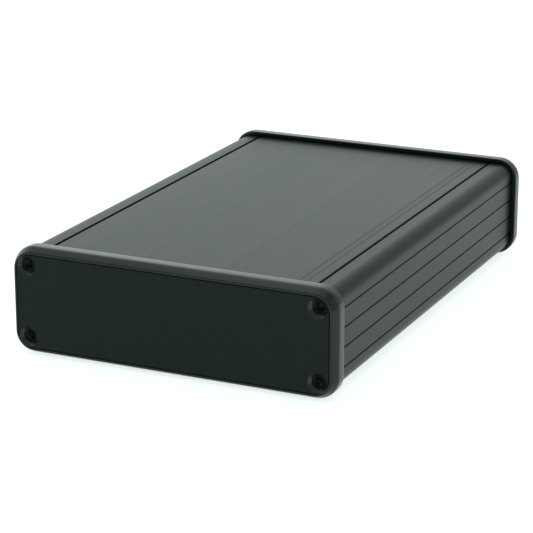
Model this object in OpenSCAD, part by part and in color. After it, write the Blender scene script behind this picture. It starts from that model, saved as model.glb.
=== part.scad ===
// Logic analyzer in an extruded aluminium instrument case.
// X runs across the case, Y along it with the blank end towards -Y, and Z up from the surface it stands on.

/* [Case] */
// Length over both end panels
case_length = 163; // [150:1:220]
// Width of the aluminium extrusion
body_w = 103; // [100:0.5:110]
// Height of the aluminium extrusion
body_h = 30.5; // [29:0.5:36]
// Wall thickness of the extrusion
body_wall = 1.5; // [1.2:0.1:2]
// Outer corner radius of the extrusion
body_r = 4.2; // [3.5:0.1:5]
// Distance between the fine grooves in the side walls
groove_pitch = 6.04; // [4:0.01:7]
// Number of fine grooves in each side wall
groove_count = 4; // [1:1:4]
// Width of a fine groove
groove_w = 0.5; // [0.3:0.05:0.8]
// Depth of a fine groove
groove_d = 0.3; // [0.2:0.05:0.6]

/* [Top cover] */
// Distance from the middle of the case to the middle of a cover seam
seam_x = 43.6; // [42:0.1:44]
// Width of a cover seam
seam_w = 0.9; // [0.8:0.1:1.6]
// Thickness of the cover plate
cover_t = 1.5; // [1.2:0.1:2]
// Thickness of the tongues that run in the case
tongue_t = 0.9; // [0.7:0.05:1]
// Thickness of the case over a tongue
flange_t = 1.15; // [1:0.05:1.3]

/* [Bezels and end panels] */
// How far a bezel stands out from the sides of the extrusion
bezel_side = 1.7; // [1.5:0.05:2.5]
// How far a bezel stands out above and below the extrusion
bezel_top = 1.55; // [1.5:0.05:2.5]
// Length of a bezel along the case
bezel_depth = 6.2; // [5.5:0.1:9]
// Outer corner radius of a bezel
bezel_r = 7; // [6.6:0.1:7.5]
// Width of the bezel's rim beside the panel
rim_w = 2; // [1.9:0.05:2.2]
// Width of the rim's flat lip round the panel
lip_w = 0.65; // [0.4:0.05:1]
// How far back from the face the rim's slope reaches
slope_depth = 2.6; // [2:0.1:4]
// Thickness of the web between panel and extrusion
web_t = 0.8; // [0.6:0.1:1.5]
// Thickness of an end panel
panel_t = 1.5; // [1.5:0.1:2]
// Gap between a panel and its bezel
panel_gap = 0.25; // [0.1:0.05:0.3]

/* [Screws] */
// Distance across the case between the end screws
screw_w = 95.1; // [94.5:0.1:95.5]
// Distance up the case between the end screws
screw_h = 22.5; // [22:0.1:22.8]
// Diameter of a countersink at the panel's face
sink_d = 6.2; // [6:0.1:6.4]
// Diameter of a screw's head
head_d = 4.2; // [4:0.1:5.1]
// Diameter of a screw's shank
shank_d = 2.5; // [2.3:0.1:2.7]
// Length of a screw under its head
shank_l = 10; // [8:0.5:14]

/* [Board] */
// Width of the circuit board
board_w = 98.4; // [97.6:0.1:98.6]
// Thickness of the circuit board
board_t = 1.6; // [1.4:0.1:1.7]
// Height of the board's underside above the surface the case stands on
board_z = 10.4; // [10:0.1:11]

/* [Connectors] */
// Pins in one row of the signal header
header_columns = 17; // [10:1:17]
// Distance between neighbouring pins
pin_pitch = 2.54; // [2:0.01:2.54]
// Middle of the signal header across the case
header_x = -11; // [-11.5:0.5:-10.5]
// Angle to which an ejector latch opens
latch_open = 25; // [15:1:25]
// How far the latches reach out of the rear panel
latch_reach = 4.2; // [3:0.1:5]
// Middle of the USB socket across the case
usb_x = 35; // [34.5:0.5:36]
// Middle of the status lamps across the case
lamp_x = 25; // [24.5:0.1:25.2]

/* [Chips] */
// Side of the capture chip's package
capture_side = 20; // [18:1:22]
// Number of input comparators
comparator_count = 8; // [4:1:8]
// Diameter of a bulk capacitor
can_d = 8; // [6:0.5:8]
// Height of a bulk capacitor
can_h = 9.5; // [7:0.5:11]

/* [Hidden] */
$fn = 48;
// Overlap of touching shapes, and how far a cut runs past the surface it opens
eps = 0.01;
over = 1;

// Places along the case. The latches reach past the rear panel, and y = 0 is the middle of the whole length.
front_y = -(case_length + latch_reach) / 2;
rear_y = front_y + case_length;
panel_stack = panel_t + web_t;
body_front_y = front_y + panel_stack;
body_rear_y = rear_y - panel_stack;
cover_end_gap = 0.15;

// Places across and up the case
bezel_w = body_w + 2 * bezel_side;
bezel_h = body_h + 2 * bezel_top;
mid_z = bezel_h / 2;
body_top = mid_z + body_h / 2;
inner_x = body_w / 2 - body_wall;
seam_in = seam_x - seam_w / 2;
seam_out = seam_x + seam_w / 2;

// The cover's tongue and the slot it runs in
tongue_gap = 0.15;
tongue_end_gap = 0.2;
slot_reach = 1.9;
slot_h = tongue_t + tongue_gap;
slot_top = body_top - flange_t;
slot_end = seam_out + slot_reach;
slot_web = 0.4;
tongue_end = slot_end - tongue_end_gap;
tongue_z = slot_top - slot_h + tongue_gap / 2;
ledge_t = 1.05;
ledge_reach = 0.3;
rail_w = 2.2;

// Screw ports and card guides inside the extrusion
port_r = 2.7;
port_bore_r = 1.3;
guide_reach = 2;
guide_t = 1.2;
guide_gap = 0.15;

// Bezel and panel
panel_w = bezel_w - 2 * rim_w - 2 * panel_gap;
panel_h = bezel_h - 2 * rim_w - 2 * panel_gap;
panel_r = bezel_r - rim_w - panel_gap;
sleeve_gap = 0.15;
sleeve_r = body_r + sleeve_gap;
web_inset = 4.2;
pad_r = 4;
web_hole_r = 1.6;

// Screws: the head sits below the face in a 90 degree countersink
head_fit = 0.05;
head_drop = (sink_d - head_d) / 2 - head_fit;
recess_d = 2.1;
recess_mouth_d = 3.4;
recess_depth = 1.2;
sink_floor_r = sink_d / 2 - panel_t;

// Board
board_rear_gap = 0.4;
board_front_gap = 0.8;
board_top = board_z + board_t;
board_rear_y = body_rear_y - board_rear_gap;
board_front_y = body_front_y + board_front_gap;

// Signal header
pin_side = 0.64;
header_end = 3.9;
header_l = header_columns * pin_pitch + 2 * header_end;
header_h = 9.1;
header_depth = 9.3;
header_wall = 1.35;
header_floor = 2.8;
header_rear_y = rear_y - header_depth;
header_mid_z = board_top + header_h / 2;
row_z = pin_pitch / 2;
cavity_l = header_l - 2 * header_wall;
cavity_h = header_h - 2 * header_wall;
key_w = 4.5;
pin_hole_r = 0.52;
leg_setback = 1.6;
first_leg_y = header_rear_y - leg_setback;
pin_setback = 0.9;
leg_below = 1.5;

// Ejector latches
ear_reach = 4.4;
ear_depth = 5;
pivot_out = 2.1;
pivot_in = 2.5;
pivot_x = header_l / 2 + pivot_out;
pivot_y = header_rear_y + pivot_in;
pivot_r = 0.9;
pivot_fit = 0.05;
arm_w = 2.2;
latch_gap = 0.25;
latch_h = 3.6;
latch_tip_y = rear_y + latch_reach;
hook_l = 2.7;
hook_w = 1.8;
hook_drop = 2.4;
hub_r = arm_w / 2 + 0.2;
toe_l = 4.2;
toe_w = 1.4;
toe_gap = 0.45;
pivot_end = 0.7;
pivot_end_gap = 0.2;
swing_room = 0.4;
latch_swing = pivot_out + (rear_y - pivot_y) * tan(latch_open) + arm_w / 2 / cos(latch_open) + swing_room;

// USB socket
usb_w = 12;
usb_h = 10.9;
usb_depth = 16.3;
usb_wall = 0.4;
usb_proud = 0.6;
usb_face_y = rear_y + usb_proud;
usb_back_y = usb_face_y - usb_depth;
usb_mid_z = board_top + usb_h / 2;
tab_y = 4.2;
tab_w = 1.6;
tab_hole_r = 1.2;
insert_setback = 0.3;
plug_w = 8.5;
plug_h = 7.8;
plug_depth = 9;
plug_chamfer = 1.6;
tongue_w = 5.6;
tongue_h = 3.2;
tongue_setback = 1;
contact_w = 1;
contact_t = 0.25;
contact_l = 7.2;
contact_x = 1.25;

// Status lamps, one above the other
lamp_r = 1.5;
lamp_pitch = 5.1;
lamp_low_z = board_top + 2.6;
lamp_proud = 0.7;
lamp_sunk = 3.5;
lamp_bore_l = 4;
lamp_fit = 0.05;
holder_w = 4.6;
holder_h = 10.6;
holder_depth = 6;
holder_rear_y = body_rear_y - 0.3;
cut_gap = 0.3;
lamp_hole_r = lamp_r + 0.15;

// Chips: width, length and height of each package, and where its middle is
chip_lift = 0.1;
mark_depth = 0.08;
row_pitch = 6.6;
comparator_size = [4.4, 6.5, 1.2];
comparator_y = header_rear_y - 14;
network_size = [4, 1.6, 0.6];
network_y = header_rear_y - 7;
small_chip_size = [4, 5, 1.5];
threshold_x = header_x + 35;
capture_h = 1.6;
capture_y = comparator_y - 19;
memory_size = [22.2, 10.2, 1.2];
memory_y = capture_y - 26;
memory_x_step = 26;
memory_y_step = 15;
usb_chip_size = [10, 10, 1.4];
usb_chip_y = usb_back_y - 11;
settings_place = [usb_x + 9, usb_chip_y - 14];
oscillator_size = [5, 7, 1.8];
oscillator_place = [header_x - 27, capture_y];
oscillator_r = 0.6;
crystal_size = [11.4, 4.7, 3.6];
crystal_flange_t = 0.5;
crystal_flange_w = 0.5;
crystal_place = [usb_x - 4, usb_chip_y - 13];
regulator_size = [6.5, 3.5, 1.7];
regulator_place = [usb_x + 4, memory_y + 8];
regulator_step = 13;

// Coil and capacitors
inductor_size = [10, 10, 4.5];
inductor_place = [usb_x - 5, memory_y - 20];
inductor_r = 1.8;
inductor_well_r = 3.4;
inductor_well_d = 0.3;
can_foot_t = 1.4;
can_foot_side = can_d + 0.4;
can_place = [usb_x + 8, memory_y - 32];
can_step = [12, 6];
cap_size = [2, 1.25, 1.1];
cap_gap = 3.5;
cap_step = 6;
memory_cap_x = 7;

// ---- shared shapes ----

// Rounded rectangle with true arcs at its corners
module rounded_rect(w, h, r) {
    square([w - 2 * r, h], center = true);
    square([w, h - 2 * r], center = true);
    for (x = [-1, 1], z = [-1, 1])
        translate([x * (w / 2 - r), z * (h / 2 - r)])
            circle(r);
}

// Extrudes a section drawn in X and Z from y0 to y1
module along_y(y0, y1) {
    translate([0, y1, 0])
        rotate([90, 0, 0])
            linear_extrude(y1 - y0)
                children();
}

// Extrudes a plan drawn in X and Y from z0 to z1
module up(z0, z1) {
    translate([0, 0, z0])
        linear_extrude(z1 - z0)
            children();
}

// Carries a profile round a rounded rectangle. The profile's x is the distance out from a corner's centre.
module frame_sweep(w, h, r) {
    cx = w / 2 - r;
    cy = h / 2 - r;
    corners = [[cx, cy], [-cx, cy], [-cx, -cy], [cx, -cy]];
    for (i = [0 : 3]) {
        run = i % 2 == 0 ? 2 * cx : 2 * cy;
        translate([corners[i].x, corners[i].y, 0])
            rotate(90 * i) {
                rotate_extrude(angle = 90)
                    children();
                translate([-run, 0, 0])
                    rotate([90, 0, 90])
                        linear_extrude(run)
                            children();
            }
    }
}

// Puts a shape drawn face down at z = 0, with its depth along +Z, into the front end or the rear end
module at_front() {
    translate([0, front_y, mid_z])
        rotate([90, 0, 180])
            children();
}

module at_rear() {
    translate([0, rear_y, mid_z])
        rotate([90, 0, 0])
            children();
}

module at_screws() {
    for (x = [-1, 1], z = [-1, 1])
        translate([x * screw_w / 2, z * screw_h / 2])
            children();
}

// Flat package on the board: size is its width, length and height, with a round mark sunk into its top
module package(place, size, mark_r) {
    translate([place.x, place.y, board_top])
        difference() {
            translate([-size.x / 2, -size.y / 2, chip_lift])
                cube([size.x, size.y, size.z - chip_lift]);
            translate([-size.x / 2 + 3 * mark_r, size.y / 2 - 3 * mark_r, size.z - mark_depth])
                cylinder(r = mark_r, h = over);
        }
}

// ---- case ----

module body_section() {
    difference() {
        union() {
            difference() {
                rounded_rect(body_w, body_h, body_r);
                rounded_rect(body_w - 2 * body_wall, body_h - 2 * body_wall, body_r - body_wall);
            }
            at_screws()
                circle(port_r);
            for (side = [-1, 1]) {
                flange_and_ledge(side);
                card_guides(side);
            }
        }
        // open top between the two flanges, and the slots for the cover's tongues
        translate([-seam_out, body_h / 2 - flange_t - eps])
            square([2 * seam_out, flange_t + over]);
        translate([-slot_end, slot_top - slot_h - mid_z])
            square([2 * slot_end, slot_h]);
        at_screws()
            circle(port_bore_r);
        side_grooves();
    }
}

// Thick strip beside the seam that holds the slot, with the ledge that carries the tongue
module flange_and_ledge(side) {
    strip_x = seam_in - ledge_reach;
    strip_l = slot_end + slot_web - strip_x;
    strip_h = flange_t + slot_h + ledge_t;
    translate([side > 0 ? strip_x : -strip_x - strip_l, body_h / 2 - strip_h])
        square([strip_l, strip_h]);
}

module card_guides(side) {
    guide_z = [board_z - mid_z - guide_gap - guide_t, board_z + board_t - mid_z + guide_gap];
    for (z = guide_z)
        translate([side > 0 ? inner_x - guide_reach : -inner_x - eps, z])
            square([guide_reach + eps, guide_t]);
}

module side_grooves() {
    for (i = [0 : groove_count - 1], side = [-1, 1])
        translate([side * body_w / 2, (i - (groove_count - 1) / 2) * groove_pitch])
            square([2 * groove_d, groove_w], center = true);
}

module case_extrusion() {
    color("#262a2a")
        along_y(body_front_y, body_rear_y)
            translate([0, mid_z])
                body_section();
}

module top_cover() {
    color("#2b2f2f")
        along_y(body_front_y + cover_end_gap, body_rear_y - cover_end_gap) {
            translate([-seam_in, body_top - cover_t])
                square([2 * seam_in, cover_t]);
            for (side = [-1, 1]) {
                rail_x = seam_in - rail_w;
                translate([side > 0 ? rail_x : -seam_in, tongue_z])
                    square([rail_w, body_top - tongue_z - cover_t / 2]);
                translate([side > 0 ? rail_x : -tongue_end, tongue_z])
                    square([tongue_end - rail_x, tongue_t]);
            }
        }
}

// Bezel section: x is the distance out from the corner's centre, y the depth from the face
module bezel_profile() {
    rim_x = bezel_r - rim_w;
    web_x = bezel_r - web_inset;
    // flat lip, slope and sleeve over the end of the extrusion
    polygon([
        [rim_x, 0], [rim_x + lip_w, 0], [bezel_r, slope_depth], [bezel_r, bezel_depth], [rim_x, bezel_depth]
    ]);
    // web behind the panel
    translate([web_x, panel_t])
        square([rim_x - web_x + eps, web_t]);
}

module bezel() {
    difference() {
        union() {
            frame_sweep(bezel_w, bezel_h, bezel_r)
                bezel_profile();
            translate([0, 0, panel_t])
                linear_extrude(web_t)
                    intersection() {
                        at_screws()
                            circle(pad_r);
                        rounded_rect(bezel_w - rim_w, bezel_h - rim_w, bezel_r - rim_w / 2);
                    }
        }
        // room for the end of the extrusion
        translate([0, 0, panel_stack])
            linear_extrude(bezel_depth)
                rounded_rect(body_w + 2 * sleeve_gap, body_h + 2 * sleeve_gap, sleeve_r);
        at_screws()
            cylinder(r = web_hole_r, h = bezel_depth);
    }
}

module front_bezel() {
    color("#1d2020")
        at_front()
            bezel();
}

module rear_bezel() {
    color("#1d2020")
        at_rear()
            bezel();
}

module blank_panel() {
    difference() {
        linear_extrude(panel_t)
            rounded_rect(panel_w, panel_h, panel_r);
        at_screws()
            translate([0, 0, -eps])
                cylinder(h = panel_t + 2 * eps, r1 = sink_d / 2 + eps, r2 = sink_floor_r - eps);
    }
}

module front_panel() {
    color("#1e2726")
        at_front()
            blank_panel();
}

module rear_panel() {
    color("#1e2726")
        difference() {
            at_rear()
                blank_panel();
            // header with room for the latches to swing
            along_y(rear_y - 2 * panel_t, rear_y + over)
                translate([header_x - header_l / 2 - latch_swing, board_top - cut_gap])
                    square([header_l + 2 * latch_swing, header_h + 2 * cut_gap]);
            along_y(rear_y - 2 * panel_t, rear_y + over)
                translate([usb_x - usb_w / 2 - cut_gap, board_top - cut_gap])
                    square([usb_w + 2 * cut_gap, usb_h + 2 * cut_gap]);
            for (i = [0, 1])
                translate([lamp_x, rear_y + over, lamp_low_z + i * lamp_pitch])
                    rotate([90, 0, 0])
                        cylinder(r = lamp_hole_r, h = 3 * panel_t);
        }
}

// Countersunk screw with a six-sided recess, head up at z = 0 and its shank along +Z
module panel_screw() {
    head_r = head_d / 2;
    head_h = head_r - shank_d / 2;
    difference() {
        translate([0, 0, head_drop]) {
            cylinder(h = head_h, r1 = head_r, r2 = shank_d / 2);
            cylinder(h = head_h + shank_l, r = shank_d / 2);
        }
        translate([0, 0, head_drop - eps]) {
            cylinder(h = recess_depth, d = recess_d, $fn = 6);
            cylinder(h = (recess_mouth_d - recess_d) / 2, d1 = recess_mouth_d, d2 = recess_d);
        }
    }
}

module front_screws() {
    color("#141414")
        at_front()
            at_screws()
                panel_screw();
}

module rear_screws() {
    color("#141414")
        at_rear()
            at_screws()
                panel_screw();
}

// ---- board and connectors ----

// One child at each pin of the header: i counts along the row, row is 0 for the lower and 1 for the upper
module at_pins() {
    for ($i = [0 : header_columns - 1], $row = [0, 1])
        translate([header_x + ($i - (header_columns - 1) / 2) * pin_pitch, 0, 0])
            children();
}

module main_board() {
    color("#1f4d34")
        difference() {
            translate([-board_w / 2, board_front_y, board_z])
                cube([board_w, board_rear_y - board_front_y, board_t]);
            at_pins()
                translate([0, first_leg_y - $row * pin_pitch, board_z - over])
                    cylinder(r = pin_hole_r, h = board_t + 2 * over, $fn = 16);
            for (side = [-1, 1])
                translate([usb_x + side * usb_w / 2, usb_back_y + tab_y + tab_w / 2, board_z - over])
                    cylinder(r = tab_hole_r, h = board_t + 2 * over);
        }
}

// One child at each end of the header, the left one mirrored
module at_header_ends() {
    for (side = [-1, 1])
        translate([header_x, 0, 0])
            mirror([side > 0 ? 0 : 1, 0, 0])
                children();
}

module signal_header() {
    color("#202022")
        difference() {
            union() {
                translate([header_x - header_l / 2, header_rear_y, board_top])
                    cube([header_l, header_depth, header_h]);
                // ears that hold the latch pivots
                translate([header_x - header_l / 2 - ear_reach, header_rear_y, board_top])
                    cube([header_l + 2 * ear_reach, ear_depth, header_h]);
            }
            // cavity for the plug, with the keyway in its upper wall
            translate([header_x - cavity_l / 2, header_rear_y + header_floor, header_mid_z - cavity_h / 2])
                cube([cavity_l, header_depth, cavity_h]);
            translate([header_x - key_w / 2, header_rear_y + header_floor, header_mid_z])
                cube([key_w, header_depth, header_h]);
            // slots for the latches, open at the ends and into the cavity, with the pivots' bores
            at_header_ends() {
                up(header_mid_z - latch_h / 2 - latch_gap, header_mid_z + latch_h / 2 + latch_gap) {
                    translate([header_l / 2 + latch_gap, header_rear_y - over])
                        square([ear_reach, header_depth + 2 * over]);
                    translate([cavity_l / 2 - eps, header_rear_y + header_floor])
                        square([header_l, header_depth]);
                }
                translate([pivot_x, pivot_y, board_top + pivot_end - pivot_end_gap])
                    cylinder(r = pivot_r + pivot_fit, h = header_h - 2 * pivot_end + 2 * pivot_end_gap);
            }
            at_pins()
                translate([0, header_rear_y - over, header_mid_z + (2 * $row - 1) * row_z])
                    translate([-pin_side / 2, 0, -pin_side / 2])
                        cube([pin_side, header_depth, pin_side]);
        }
}

// Bent pins: straight through the header's floor, then down through the board
module header_pins() {
    color("#c9b26a")
        at_pins() {
            leg_y = first_leg_y - $row * pin_pitch;
            z = header_mid_z + (2 * $row - 1) * row_z;
            translate([-pin_side / 2, leg_y - pin_side / 2, z - pin_side / 2])
                cube([pin_side, rear_y - pin_setback - leg_y + pin_side / 2, pin_side]);
            translate([-pin_side / 2, leg_y - pin_side / 2, board_z - leg_below])
                cube([pin_side, pin_side, z - board_z + leg_below]);
        }
}

// Right-hand latch drawn about its pivot: an arm that ends in a hook, and a toe that lifts the plug
module latch_plan() {
    arm_l = latch_tip_y - pivot_y;
    circle(hub_r);
    translate([-arm_w / 2, 0])
        square([arm_w, arm_l - arm_w / 2]);
    // hook over the plug, under a round nose
    translate([-arm_w / 2 - hook_l, arm_l - hook_drop])
        square([hook_l + arm_w / 2, hook_w]);
    translate([0, arm_l - arm_w / 2])
        circle(arm_w / 2);
    translate([-toe_l, toe_gap])
        square([toe_l, toe_w]);
}

module latch(side) {
    translate([header_x + side * pivot_x, pivot_y, 0])
        mirror([side > 0 ? 0 : 1, 0, 0]) {
            up(header_mid_z - latch_h / 2, header_mid_z + latch_h / 2)
                latch_plan();
            up(board_top + pivot_end, board_top + header_h - pivot_end)
                circle(pivot_r);
        }
}

module latch_left() {
    color("#202022")
        latch(-1);
}

module latch_right() {
    color("#202022")
        latch(1);
}

module usb_shell() {
    color("#b9bcc0")
        difference() {
            union() {
                translate([usb_x - usb_w / 2, usb_back_y, board_top])
                    cube([usb_w, usb_depth, usb_h]);
                // board tabs
                for (side = [-1, 1])
                    translate([usb_x + side * (usb_w - usb_wall) / 2 - usb_wall / 2, usb_back_y + tab_y,
                               board_z - leg_below])
                        cube([usb_wall, tab_w, board_t + leg_below + over]);
            }
            translate([usb_x - usb_w / 2 + usb_wall, usb_back_y + usb_wall, board_top + usb_wall])
                cube([usb_w - 2 * usb_wall, usb_depth, usb_h - 2 * usb_wall]);
        }
}

// Mouth of the socket, with its two upper corners cut off
module plug_outline() {
    polygon([
        [-plug_w / 2, -plug_h / 2], [plug_w / 2, -plug_h / 2],
        [plug_w / 2, plug_h / 2 - plug_chamfer], [plug_w / 2 - plug_chamfer, plug_h / 2],
        [-plug_w / 2 + plug_chamfer, plug_h / 2], [-plug_w / 2, plug_h / 2 - plug_chamfer]
    ]);
}

module usb_insert() {
    color("#e8e6e0") {
        difference() {
            along_y(usb_back_y + usb_wall, usb_face_y - insert_setback)
                translate([usb_x, usb_mid_z])
                    square([usb_w - 2 * usb_wall, usb_h - 2 * usb_wall], center = true);
            along_y(usb_face_y - plug_depth, usb_face_y + over)
                translate([usb_x, usb_mid_z])
                    plug_outline();
        }
        along_y(usb_face_y - plug_depth - eps, usb_face_y - tongue_setback)
            translate([usb_x, usb_mid_z])
                square([tongue_w, tongue_h], center = true);
    }
}

module usb_contacts() {
    color("#d7b65a")
        for (x = [-1, 1], z = [-1, 1])
            translate([usb_x + x * contact_x - contact_w / 2, usb_face_y - plug_depth,
                       usb_mid_z + z * (tongue_h / 2 + contact_t / 2) - contact_t / 2])
                cube([contact_w, contact_l, contact_t]);
}

module lamp_holder() {
    color("#1b1b1d")
        difference() {
            translate([lamp_x - holder_w / 2, holder_rear_y - holder_depth, board_top])
                cube([holder_w, holder_depth, holder_h]);
            for (i = [0, 1])
                translate([lamp_x, holder_rear_y + over, lamp_low_z + i * lamp_pitch])
                    rotate([90, 0, 0])
                        cylinder(r = lamp_r + lamp_fit, h = lamp_bore_l + over);
        }
}

// Round-nosed lamps lying along the case, pushed into the holder
module status_lamps() {
    color("#8fc79a")
        for (i = [0, 1])
            translate([lamp_x, holder_rear_y - lamp_sunk, lamp_low_z + i * lamp_pitch])
                rotate([-90, 0, 0]) {
                    nose_l = rear_y + lamp_proud - lamp_r - holder_rear_y + lamp_sunk;
                    cylinder(r = lamp_r, h = nose_l);
                    translate([0, 0, nose_l])
                        sphere(lamp_r);
                }
}

// ---- chips ----

module input_comparators() {
    first_x = header_x - (comparator_count - 1) / 2 * row_pitch;
    color("#232427")
        for (i = [0 : comparator_count - 1])
            package([first_x + i * row_pitch, comparator_y], comparator_size, 0.3);
}

module resistor_networks() {
    first_x = header_x - (comparator_count - 1) / 2 * row_pitch;
    color("#2b2c30")
        for (i = [0 : comparator_count - 1])
            translate([first_x + i * row_pitch, network_y, board_top])
                translate([-network_size.x / 2, -network_size.y / 2, 0])
                    cube(network_size);
}

module threshold_converter() {
    color("#232427")
        package([threshold_x, comparator_y], small_chip_size, 0.4);
}

module capture_chip() {
    color("#1e1f22")
        package([header_x, capture_y], [capture_side, capture_side, capture_h], 0.9);
}

module memory_chips() {
    color("#232427")
        for (column = [0, 1], row = [0, 1])
            package([header_x + (column - 0.5) * memory_x_step, memory_y - row * memory_y_step],
                    memory_size, 0.6);
}

module usb_controller() {
    color("#1e1f22")
        package([usb_x, usb_chip_y], usb_chip_size, 0.6);
}

module settings_memory() {
    color("#232427")
        package(settings_place, small_chip_size, 0.4);
}

module sample_oscillator() {
    color("#c6c8ca")
        translate(oscillator_place)
            up(board_top, board_top + oscillator_size.z)
                rounded_rect(oscillator_size.x, oscillator_size.y, oscillator_r);
}

// Low metal can with round ends, on its flange
module usb_crystal() {
    can_l = crystal_size.x - 2 * crystal_flange_w;
    can_w = crystal_size.y - 2 * crystal_flange_w;
    color("#c6c8ca")
        translate(crystal_place) {
            up(board_top, board_top + crystal_flange_t)
                rounded_rect(crystal_size.x, crystal_size.y, crystal_size.y / 2 - eps);
            up(board_top + crystal_flange_t - eps, board_top + crystal_size.z)
                rounded_rect(can_l, can_w, can_w / 2 - eps);
        }
}

module voltage_regulators() {
    color("#232427")
        for (i = [0, 1])
            package(regulator_place - [0, i * regulator_step], regulator_size, 0.3);
}

// Ferrite block with a round well over its winding
module power_inductor() {
    color("#3a3a3c")
        translate([inductor_place.x, inductor_place.y, board_top])
            difference() {
                up(0, inductor_size.z)
                    rounded_rect(inductor_size.x, inductor_size.y, inductor_r);
                translate([0, 0, inductor_size.z - inductor_well_d])
                    cylinder(r = inductor_well_r, h = over);
            }
}

// Aluminium cans on square plastic feet
module bulk_capacitors() {
    color("#bfc2c5")
        for (i = [0 : 2])
            translate([can_place.x - can_step.x * (i % 2), can_place.y - can_step.y * i, board_top]) {
                up(0, can_foot_t)
                    square(can_foot_side, center = true);
                up(can_foot_t - eps, can_h)
                    circle(can_d / 2);
            }
}

// Ceramic capacitor lying along X, or along Y when it is turned
module ceramic_capacitor(x, y, turned = false) {
    translate([x, y, board_top])
        rotate(turned ? 90 : 0)
            translate([-cap_size.x / 2, -cap_size.y / 2, 0])
                cube(cap_size);
}

module bypass_capacitors() {
    spread = capture_side / 2 + cap_gap;
    color("#a58f6c") {
        for (side = [-1, 1], i = [-1 : 1]) {
            ceramic_capacitor(header_x + i * cap_step, capture_y + side * spread);
            ceramic_capacitor(header_x + side * spread, capture_y + i * cap_step, turned = true);
        }
        for (column = [0, 1], row = [0, 1], i = [-1, 1])
            ceramic_capacitor(header_x + (column - 0.5) * memory_x_step + i * memory_cap_x,
                              memory_y - (row + 0.5) * memory_y_step);
    }
}

case_extrusion();
top_cover();
front_bezel();
rear_bezel();
front_panel();
rear_panel();
front_screws();
rear_screws();
main_board();
signal_header();
header_pins();
latch_left();
latch_right();
usb_shell();
usb_insert();
usb_contacts();
lamp_holder();
status_lamps();
input_comparators();
resistor_networks();
threshold_converter();
capture_chip();
memory_chips();
usb_controller();
settings_memory();
sample_oscillator();
usb_crystal();
voltage_regulators();
power_inductor();
bulk_capacitors();
bypass_capacitors();
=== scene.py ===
import bpy
import bmesh
import math
import numpy as np
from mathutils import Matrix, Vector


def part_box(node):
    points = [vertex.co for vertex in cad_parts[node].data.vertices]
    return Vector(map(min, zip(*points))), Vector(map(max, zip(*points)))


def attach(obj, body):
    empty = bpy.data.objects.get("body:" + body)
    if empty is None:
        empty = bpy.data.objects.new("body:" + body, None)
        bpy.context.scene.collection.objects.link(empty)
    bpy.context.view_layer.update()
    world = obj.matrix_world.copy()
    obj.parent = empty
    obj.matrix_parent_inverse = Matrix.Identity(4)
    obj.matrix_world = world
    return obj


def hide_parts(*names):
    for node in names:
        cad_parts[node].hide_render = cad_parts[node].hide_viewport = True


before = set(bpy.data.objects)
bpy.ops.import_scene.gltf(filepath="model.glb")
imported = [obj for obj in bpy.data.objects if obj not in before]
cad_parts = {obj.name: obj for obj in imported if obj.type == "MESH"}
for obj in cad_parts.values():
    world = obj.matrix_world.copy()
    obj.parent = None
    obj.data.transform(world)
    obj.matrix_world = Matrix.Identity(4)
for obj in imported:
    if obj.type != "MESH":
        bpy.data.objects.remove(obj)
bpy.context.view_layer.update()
scene = bpy.context.scene
mm = 0.001  # lengths are in millimetres and are multiplied by this, apart from those of the studio, in metres


def linearColour(hexText):  # sRGB hex to the linear red, green, blue and alpha of a socket
    channels = [int(hexText[i:i + 2], 16) / 255 for i in (1, 3, 5)]
    return [c / 12.92 if c <= 0.04045 else ((c + 0.055) / 1.055) ** 2.4 for c in channels] + [1.0]


def addNode(tree, kind, settings=None, links=None):  # one node with its settings, and what feeds its sockets
    item = tree.nodes.new(kind)
    for key, value in (settings or {}).items():
        if isinstance(key, str) and hasattr(item, key):
            setattr(item, key, value)
        else:
            item.inputs[key].default_value = value
    for key, output in (links or {}).items():
        tree.links.new(output, item.inputs[key])
    return item


cameraSet = {"place": (0.27778, -0.6144, 0.22537), "azimuth": 24.88, "elevation": 17.72, "lens": 146.63,
             "sensor": 36, "clip": (0.01, 20)}
azimuth, elevation = math.radians(cameraSet["azimuth"]), math.radians(cameraSet["elevation"])
cameraData = bpy.data.cameras.new("studioCamera")
cameraData.lens = cameraSet["lens"]
cameraData.sensor_width = cameraSet["sensor"]
cameraData.clip_start, cameraData.clip_end = cameraSet["clip"]
camera = bpy.data.objects.new("studioCamera", cameraData)
camera.rotation_euler = (math.pi / 2 - elevation, 0, azimuth)
camera.location = cameraSet["place"]
scene.collection.objects.link(camera)
scene.camera = camera

studio = {
    "tentDim": 0.62,  # brightness of the white tent where it is in shade
    "tentBright": 1.55,  # and where the window light falls on it
    "brightWay": (-0.7, 0.7, 0.1),  # the way from the case to that side
    "brightFrom": 0.3,  # cosines between which the one turns into the other
    "brightTo": 0.95,
    "tint": (0.9, 1.0, 0.985),  # the light is a little green
    "floor": "#bdbdbd",
    "floorGlow": 0.8,  # the table is a lit panel, so shadows on it stay pale
    "glowTint": (0.94, 1.0, 0.99),
    "floorSize": 8.0,
    "floorDrop": 0.0002,  # a hair under the case, so the two faces don't fight
    "floorRough": 0.9,
    "floorGloss": 0.1,
    # name: place, aim, width, height and power of each soft box
    "boxes": {
        "topBox": ((0.0, 0.25, 1.3), (0, 0, 0), 1.2, 1.6, 4.0),
        "rightBox": ((1.3, 0.5, 0.6), (0, 0, 0.02), 0.9, 1.1, 1.0),
    },
}
scene.view_settings.view_transform = "Standard"
world = bpy.data.worlds.new("whiteTent")
scene.world = world
world.use_nodes = True
tree = world.node_tree
sky = addNode(tree, "ShaderNodeTexCoord").outputs["Generated"]
wayOut = addNode(tree, "ShaderNodeVectorMath", {"operation": "DOT_PRODUCT", 1: studio["brightWay"]}, {0: sky})
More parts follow.
